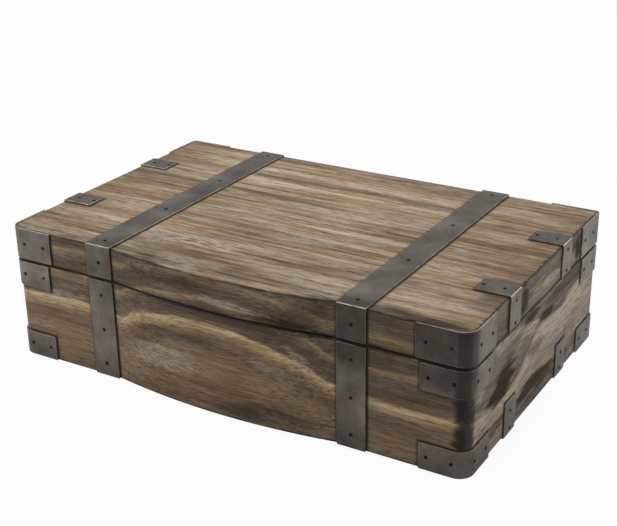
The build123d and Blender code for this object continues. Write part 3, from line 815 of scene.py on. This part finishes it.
# Nails: a forged head with a shank, modelled once and driven in at every place. The
# rings are shares of the head's radius and height.
HEAD_RADIUS, HEAD_HEIGHT = 1.25 * MM, 0.5 * MM
SHANK_RADIUS, SHANK_LENGTH, TIP_LENGTH = 0.7 * MM, 5.2 * MM, 1.4 * MM
TIP_RADIUS = 0.2 * SHANK_RADIUS
HEAD_RINGS = [(1.0, 0.0), (1.0, 0.2), (0.8, 0.62), (0.45, 0.92)]
NAIL_SEED = 7


def make_nail():
    """One nail that points down, with its head resting on the XY plane."""
    bpy.ops.object.select_all(action="DESELECT")
    bpy.ops.mesh.primitive_circle_add(
        vertices=9, radius=TIP_RADIUS, fill_type="NGON", location=(0, 0, -SHANK_LENGTH)
    )
    nail = bpy.context.object
    nail.name = "nail"
    bpy.ops.object.transform_apply(location=True)
    bpy.ops.object.mode_set(mode="EDIT")
    bpy.ops.mesh.select_all(action="SELECT")
    rings = [(SHANK_RADIUS, TIP_LENGTH - SHANK_LENGTH), (SHANK_RADIUS, 0.0)]
    rings += [(share * HEAD_RADIUS, rise * HEAD_HEIGHT) for share, rise in HEAD_RINGS]
    radius, level = TIP_RADIUS, -SHANK_LENGTH
    for new_radius, new_level in rings:
        extrude_by((0, 0, new_level - level))
        size = new_radius / radius
        bpy.ops.transform.resize(value=(size, size, 1))
        radius, level = new_radius, new_level
    finish_closed()
    bpy.ops.object.shade_smooth_by_angle(angle=math.radians(50))
    return nail


def span_of(piece):
    """Lowest and highest corner of a piece's mesh."""
    points = [v.co for v in piece.data.vertices]
    low = Vector([min(p[i] for p in points) for i in range(3)])
    return low, Vector([max(p[i] for p in points) for i in range(3)])


def nail_places(node):
    """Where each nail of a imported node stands: the middle of its box, and its way out."""
    bpy.ops.object.select_all(action="DESELECT")
    loose = bpy.data.objects.new("loose_nails", nodes[node].data.copy())
    bpy.context.scene.collection.objects.link(loose)
    take_up(loose)
    bpy.ops.object.mode_set(mode="EDIT")
    bpy.ops.mesh.select_all(action="SELECT")
    bpy.ops.mesh.remove_doubles(threshold=0.01 * MM)
    bpy.ops.mesh.separate(type="LOOSE")
    bpy.ops.object.mode_set(mode="OBJECT")
    heart = Vector((0, MID_Y, (BASE_Z + TOP_Z) / 2))
    places = []
    for piece in list(bpy.context.selected_objects):
        low, high = span_of(piece)
        axis = max(range(3), key=lambda i: (high - low)[i])
        out = Vector((0, 0, 0))
        out[axis] = 1 if (low + high)[axis] / 2 > heart[axis] else -1
        head = (low + high) / 2
        head[axis] = high[axis] if out[axis] > 0 else low[axis]
        places.append((head, out))
        bpy.data.meshes.remove(piece.data)
    return sorted(places, key=lambda place: tuple(place[0]))


def drive_nails(name, node, body, material):
    """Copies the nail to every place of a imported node, each turned a little differently."""
    chance = random.Random(NAIL_SEED)
    nail = make_nail()
    driven = []
    for head, out in nail_places(node):
        copy = nail.copy()
        copy.data = nail.data.copy()
        bpy.context.scene.collection.objects.link(copy)
        turn = out.to_track_quat("Z", "Y").to_matrix().to_4x4()
        spin = Matrix.Rotation(chance.uniform(0, math.pi), 4, "Z")
        wide = chance.uniform(0.93, 1.05)
        size = Matrix.Diagonal((wide, wide * chance.uniform(0.92, 1), 1, 1))
        sunk = out.z < 0
        drop = HEAD_HEIGHT * (0.999 if sunk else chance.uniform(0.99, 1.12))
        copy.data.transform(Matrix.Translation(head - out * drop) @ turn @ spin @ size)
        driven.append(copy)
    bpy.data.objects.remove(nail)
    join(driven)
    driven[0].name = name
    show(driven[0], body, "nail_iron", material, node)


# Inside: suede over board for the linings and the dividers, and stuffed cushions. A pad
# stands straight for a share of its thickness, then rolls over in steps in and up.
PAD_UPRIGHT = 0.4
PAD_ROLL = ((0.1, 0.25), (0.25, 0.19), (0.6, 0.12), (2.4, 0.04))
CROSS_HALF = 1.25 * MM
DIVIDER_FIT = 0.05 * MM
COLUMNS = [middle_of(f"cushion_front_{column}").x for column in range(1, 7)]


def add_flat(name, low, high, level):
    """A flat face over a rectangle at one level, in edit mode and all selected."""
    place = ((low.x + high.x) / 2, (low.y + high.y) / 2, level)
    return start_plane(name, place, (0, 0, 0), high.x - low.x, high.y - low.y)


def make_pad(name, node, body, up, material):
    """A foam pad under suede, drawn down at its edges; up is the way its open face looks."""
    low, high = low_of(node), high_of(node)
    back, face = (low.z, high.z) if up > 0 else (high.z, low.z)
    piece = add_flat(name, low, high, back)
    thick = abs(face - back)
    extrude_by((0, 0, up * PAD_UPRIGHT * thick))
    for wide, rise in PAD_ROLL:
        bpy.ops.mesh.inset(thickness=wide * thick)
        bpy.ops.transform.translate(value=(0, 0, up * rise * thick))
    finish_closed()
    bpy.ops.object.shade_smooth_by_angle(angle=math.radians(60))
    show(piece, body, "lining_suede", material, node)


def make_wall_lining(material):
    """Suede over card, standing round the inside of the walls, rolled over at the top."""
    low, high = low_of("wall_lining"), high_of("wall_lining")
    piece = add_flat("suede_wall_lining", low, high, low.z)
    bpy.ops.mesh.inset(thickness=1.5 * MM)
    bpy.ops.mesh.delete(type="FACE")
    bpy.ops.mesh.select_all(action="SELECT")
    extrude_by((0, 0, high.z - low.z))
    finish_closed()
    round_off(0.6 * MM, 3)
    show(piece, "case", "lining_suede", material, "wall_lining")


def halved_board(name, low, high, axis, notches, notch_half, from_top):
    """A board with half-height notches, which stands along one axis."""
    middle = (low + high) / 2
    across = 1 - axis
    start = middle.copy()
    start[across] = low[across]
    long, tall = high[axis] - low[axis], high.z - low.z
    if axis == 0:
        piece = start_plane(name, start, (math.radians(90), 0, 0), long, tall)
    else:
        piece = start_plane(name, start, (0, math.radians(90), 0), tall, long)
    way = X_WAY if axis == 0 else Y_WAY
    cuts = [(notch + side * notch_half) * way for notch in notches for side in (-1, 1)]
    for spot, normal in [(cut, way) for cut in cuts] + [(Vector((0, 0, middle.z)), Z_WAY)]:
        bpy.ops.mesh.select_all(action="SELECT")
        bpy.ops.mesh.bisect(plane_co=spot, plane_no=normal)

    def in_notch(face):
        upper = face.center.z > middle.z
        near = min(abs(face.center[axis] - notch) for notch in notches)
        return upper == from_top and near < notch_half

    choose_faces(piece, in_notch)
    bpy.ops.mesh.delete(type="FACE")
    bpy.ops.mesh.select_mode(type="FACE")
    bpy.ops.mesh.select_all(action="SELECT")
    thick = Vector((0, 0, 0))
    thick[across] = high[across] - low[across]
    extrude_by(thick)
    finish_closed()
    return piece


def make_dividers(material):
    """One long board, halved into five short ones where they cross."""
    low, high = low_of("row_divider"), high_of("row_divider")
    crossings = [(a + b) / 2 for a, b in zip(COLUMNS, COLUMNS[1:])]
    fit = CROSS_HALF + DIVIDER_FIT
    piece = halved_board("suede_row_divider", low, high, 0, crossings, fit, True)
    round_off(0.5 * MM)
    show(piece, "case", "lining_suede", material, "row_divider")
    row_half = (high.y - low.y) / 2 + DIVIDER_FIT
    low, high = low_of("cross_dividers"), high_of("cross_dividers")
    made = []
    for x in crossings:
        near, far = low.copy(), high.copy()
        near.x, far.x = x - CROSS_HALF, x + CROSS_HALF
        shown = "suede_cross_dividers"
        made.append(halved_board(shown, near, far, 1, [MID_Y], row_half, False))
        round_off(0.5 * MM)
    join(made)
    show(made[0], "case", "lining_suede", material, "cross_dividers")


# Cushions: the cloth case before it is filled, in shares of its space, how round its
# edges and how fine its mesh are, and how hard and how long the filling presses
CASE_SHARES = (0.86, 0.86, 0.8)
CASE_ROUND, CASE_CELL = 7 * MM, 3.4 * MM
CUSHION_SWELL, CUSHION_FRAMES = 4.0, 20
# Gap round a cushion in mm, the share of its swell that it stands flat on, and how far
# its top falls away along it and across it
CUSHION_GAP = 0.4
FLAT_SHARE = 0.1
FALL_ALONG, FALL_ACROSS = 0.1, 0.06
# Piping, and how far out the seams are
SEAM_RADIUS = 0.55 * MM
SEAM_SHARE = 0.8


def stuffed_form(low, high):
    """A cushion's cloth case, blown up by its filling inside the space it has."""
    room = high - low
    middle = (low + high) / 2
    bpy.ops.object.select_all(action="DESELECT")
    bpy.ops.mesh.primitive_cube_add(size=1, location=middle)
    cushion = bpy.context.object
    cushion.scale = [share * size for share, size in zip(CASE_SHARES, room)]
    bpy.ops.object.transform_apply(location=True, scale=True)
    bpy.ops.object.mode_set(mode="EDIT")
    bpy.ops.mesh.select_mode(type="EDGE")
    bpy.ops.mesh.select_all(action="SELECT")
    bpy.ops.mesh.bevel(offset=CASE_ROUND, segments=3)
    bpy.ops.object.mode_set(mode="OBJECT")
    remesh = cushion.modifiers.new("even_out", "REMESH")
    remesh.mode = "VOXEL"
    remesh.voxel_size = CASE_CELL
    bpy.ops.object.modifier_apply(modifier="even_out")
    cloth = cushion.modifiers.new("suede_case", "CLOTH")
    cloth.settings.use_pressure = True
    cloth.settings.uniform_pressure_force = CUSHION_SWELL
    cloth.settings.effector_weights.gravity = 0
    for frame_number in range(1, CUSHION_FRAMES + 1):
        bpy.context.scene.frame_set(frame_number)
    bpy.ops.object.modifier_apply(modifier="suede_case")
    bpy.context.scene.frame_set(1)
    smooth = cushion.modifiers.new("smooth", "SUBSURF")
    smooth.levels = smooth.render_levels = 1
    bpy.ops.object.modifier_apply(modifier="smooth")
    fit_into(cushion, low, high)
    return cushion


def fit_into(cushion, low, high):
    """Scales the swollen form to its space, and flattens the side that it stands on."""
    least, most = span_of(cushion)
    for vertex in cushion.data.vertices:
        point = vertex.co
        share = [(point[i] - least[i]) / (most[i] - least[i]) for i in range(3)]
        share[2] = max((share[2] - FLAT_SHARE) / (1 - FLAT_SHARE), 0)
        across, along = 2 * share[0] - 1, 2 * share[1] - 1
        share[2] *= 1 - FALL_ALONG * along**2 - FALL_ACROSS * across**2
        for i in range(3):
            point[i] = low[i] + share[i] * (high[i] - low[i])


def sew_seams(cushion, low, high):
    """Piping round the cushion where its two side panels are sewn in."""
    middle = (low + high) / 2
    seams = [cushion]
    for side in (-1, 1):
        take_up(cushion)
        bpy.ops.object.duplicate()
        bpy.ops.object.mode_set(mode="EDIT")
        bpy.ops.mesh.select_all(action="SELECT")
        spot = middle + side * SEAM_SHARE * (high - low).x / 2 * X_WAY
        bpy.ops.mesh.bisect(plane_co=spot, plane_no=X_WAY, clear_inner=True, clear_outer=True)
        bpy.ops.mesh.remove_doubles(threshold=0.8 * MM)
        bpy.ops.object.mode_set(mode="OBJECT")
        bpy.ops.object.convert(target="CURVE")
        seam = bpy.context.object
        seam.data.bevel_depth = SEAM_RADIUS
        seam.data.bevel_resolution = 1
        bpy.ops.object.convert(target="MESH")
        seams.append(bpy.context.object)
    join(seams)


def make_cushions(material):
    """Twelve cushions for watches, from one stuffed form."""
    low, high = low_of("cushion_front_1"), high_of("cushion_front_1")
    gap = Vector((1, 1, 1)) * CUSHION_GAP * MM
    first = stuffed_form(low + Vector((gap.x, gap.y, 0)), high - gap)
    sew_seams(first, low, high)
    take_up(first)
    bpy.ops.object.shade_smooth()
    form = first.data.copy()
    bpy.data.objects.remove(first)
    start = (low + high) / 2
    for row, end in ENDS.items():
        for column in range(1, 7):
            node = f"cushion_{row}_{column}"
            middle = middle_of(node)
            turn = Matrix.Rotation(math.pi * ((column + (end > 0)) % 2), 4, "Z")
            place = Matrix.Translation(middle) @ turn @ Matrix.Translation(-start)
            mesh = form.copy()
            mesh.transform(place)
            cushion = bpy.data.objects.new(f"watch_cushion_{row}_{column}", mesh)
            bpy.context.scene.collection.objects.link(cushion)
            show(cushion, "case", "cushion_suede", material, node)


def suede(name, dark, light):
    """Short-piled suede cloth: dull, with a soft bloom at grazing angles and brushed nap."""
    material, tree, shader = new_material(name)
    place = add_node(tree, "TexCoord", output=3)
    nap = add_node(tree, "TexNoise", {"Vector": place, "Scale": 1 / (9 * MM), "Detail": 3.0})
    pile = add_node(tree, "TexNoise", {"Vector": place, "Scale": 1 / (0.5 * MM), "Detail": 2.0})
    mixed = add_node(tree, "Mix", {0: 0.35, 2: nap, 3: pile}, data_type="FLOAT")
    colour = add_node(tree, "ValToRGB", {0: mixed}, stops=[(0.38, dark), (0.62, light)])
    bump = add_node(tree, "Bump", {"Height": pile, "Strength": 0.5, "Distance": 0.2 * MM})
    found = {"Base Color": colour, "Normal": bump, "Roughness": 0.9, "Specular IOR Level": 0.15}
    set_inputs(tree, shader, {**found, "Sheen Weight": 0.25, "Sheen Roughness": 0.5})
    return material


def finish_nodes(materials):
    """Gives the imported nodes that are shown, the boards and the hinges, their finishes."""
    for name, node in nodes.items():
        if node.hide_render:
            continue
        words = name.split("_") if name.endswith(("rail", "panel")) else []
        finish = name if name in materials else next((w for w in words if w in FLAMES), "brass")
        node.data.materials.clear()
        node.data.materials.append(materials[finish])


# Light: how bright the surround is in front and behind, how white the floor is seen and
# how bright it is mirrored, and each lamp's place, aim, size and power
WHITE = linear("#FFFFFF")
SURROUND_LOW, SURROUND_HIGH = 0.2, 0.62
FLOOR_WHITE, FLOOR_MIRRORED = 0.94, 0.7
LAMPS = {
    "overhead": ((-0.2, -0.1, 0.95), (0, 0, 0.08), 0.7, 4.5),
    "left": ((-0.62, -0.52, 0.28), (-0.1, -0.1, 0.03), 0.35, 2.2),
    "right_back": ((0.75, 0.45, 0.35), (0.2, 0.1, 0.03), 0.35, 2.9),
}
# Camera, fitted to the corners, straps and seams of the chest
CAMERA_PLACE = (0.36667, -0.60751, 0.36405)
YAW, PITCH, ROLL = -0.54131, 0.40756, -0.01591
LENS = 71.209


def make_stage():
    """Pale floor under a white surround, which keeps a soft shadow."""
    bpy.ops.object.select_all(action="DESELECT")
    bpy.ops.mesh.primitive_plane_add(size=6, location=(0, 0, 0))
    floor = bpy.context.object
    floor.name = "floor"
    material, tree, shader = new_material("pale_floor")
    set_inputs(tree, shader, {"Base Color": linear("#E7E6E5"), "Roughness": 0.9})
    seen = add_node(tree, "LightPath", output="Is Camera Ray")
    white = add_node(tree, "Emission", {"Color": WHITE, "Strength": 1.0})
    # The floor behind the chest is bright enough for the plates at its side to mirror
    place = add_node(tree, "SeparateXYZ", {0: add_node(tree, "TexCoord", output=3)}, "Y")
    behind = add_node(tree, "MapRange", {0: place, 1: -0.1, 2: 0.2, 3: 0.0, 4: FLOOR_MIRRORED})
    mirrored = add_node(tree, "LightPath", output="Is Glossy Ray")
    mirrored = add_node(tree, "Math", {0: mirrored, 1: behind}, operation="MULTIPLY")
    lift = add_node(tree, "Math", {0: seen, 1: FLOOR_WHITE}, operation="MULTIPLY")
    lift = add_node(tree, "Math", {0: lift, 1: mirrored}, operation="MAXIMUM")
    blended = add_node(tree, "MixShader", {0: lift, 1: shader.outputs[0], 2: white})
    set_inputs(tree, tree.nodes["Material Output"], {"Surface": blended})
    floor.data.materials.append(material)


def add_lamp(name, place, aim, size, power):
    """A square soft lamp that faces a point."""
    lamp = bpy.data.lights.new(name, "AREA")
    lamp.size = size
    lamp.energy = power
    holder = bpy.data.objects.new(name, lamp)
    bpy.context.scene.collection.objects.link(holder)
    holder.location = place
    holder.rotation_euler = (Vector(aim) - Vector(place)).to_track_quat("-Z", "Y").to_euler()


def make_light():
    """White surround, with soft lamps overhead, on the left and behind on the right."""
    world = bpy.data.worlds.new("surround")
    bpy.context.scene.world = world
    world.use_nodes = True
    tree = world.node_tree
    plain = tree.nodes["Background"]
    way = add_node(tree, "SeparateXYZ", {0: add_node(tree, "TexCoord")}, "Y")
    lit = add_node(tree, "MapRange", {0: way, 1: -0.7, 2: 0.7, 3: SURROUND_LOW, 4: SURROUND_HIGH})
    set_inputs(tree, plain, {"Color": WHITE, "Strength": lit})
    seen = add_node(tree, "LightPath", output="Is Camera Ray")
    white = add_node(tree, "Background", {"Color": WHITE, "Strength": 1.0})
    blended = add_node(tree, "MixShader", {0: seen, 1: plain.outputs[0], 2: white})
    set_inputs(tree, tree.nodes["World Output"], {"Surface": blended})
    for name, (place, aim, size, power) in LAMPS.items():
        add_lamp(name, place, aim, size, power)


def make_camera():
    """Camera at the angle from which the chest was seen."""
    flat = math.cos(PITCH)
    forward = Vector((math.sin(YAW) * flat, math.cos(YAW) * flat, -math.sin(PITCH)))
    right = Vector((math.cos(YAW), -math.sin(YAW), 0))
    up = right.cross(forward)
    level = Matrix((right, up, -forward)).transposed()
    camera = bpy.data.cameras.new("camera")
    camera.lens = LENS
    camera.sensor_width = 36
    camera.clip_start = 0.01
    holder = bpy.data.objects.new("camera", camera)
    bpy.context.scene.collection.objects.link(holder)
    turned = (level @ Matrix.Rotation(ROLL, 3, "Z")).to_4x4()
    holder.matrix_world = Matrix.Translation(CAMERA_PLACE) @ turned
    bpy.context.scene.camera = holder


make_camera()
make_stage()
make_light()
iron = aged_iron()
make_straps(iron)
make_corner_brackets(iron)
make_side_brackets(iron)
materials = {face: burnt_wood(face) for face in FLAMES}
materials["lid_top_panel"] = burnt_wood_lid()
materials["base_panel"] = burnt_wood("top")
nail_iron = blackened_iron()
materials["brass"] = antique_brass()
drive_nails("lid_nail_heads", "lid_nails", "lid", nail_iron)
drive_nails("body_nail_heads", "body_nails", "case", nail_iron)
lining = suede("lining_suede", "#3A332E", "#443C36")
make_pad("suede_floor_lining", "floor_lining", "case", 1, lining)
make_pad("suede_lid_pad", "lid_lining_pad", "lid", -1, lining)
make_wall_lining(lining)
make_dividers(lining)
make_cushions(suede("cushion_suede", "#988D7C", "#A69A88"))
finish_nodes(materials)
bpy.context.scene.view_settings.view_transform = "Standard"
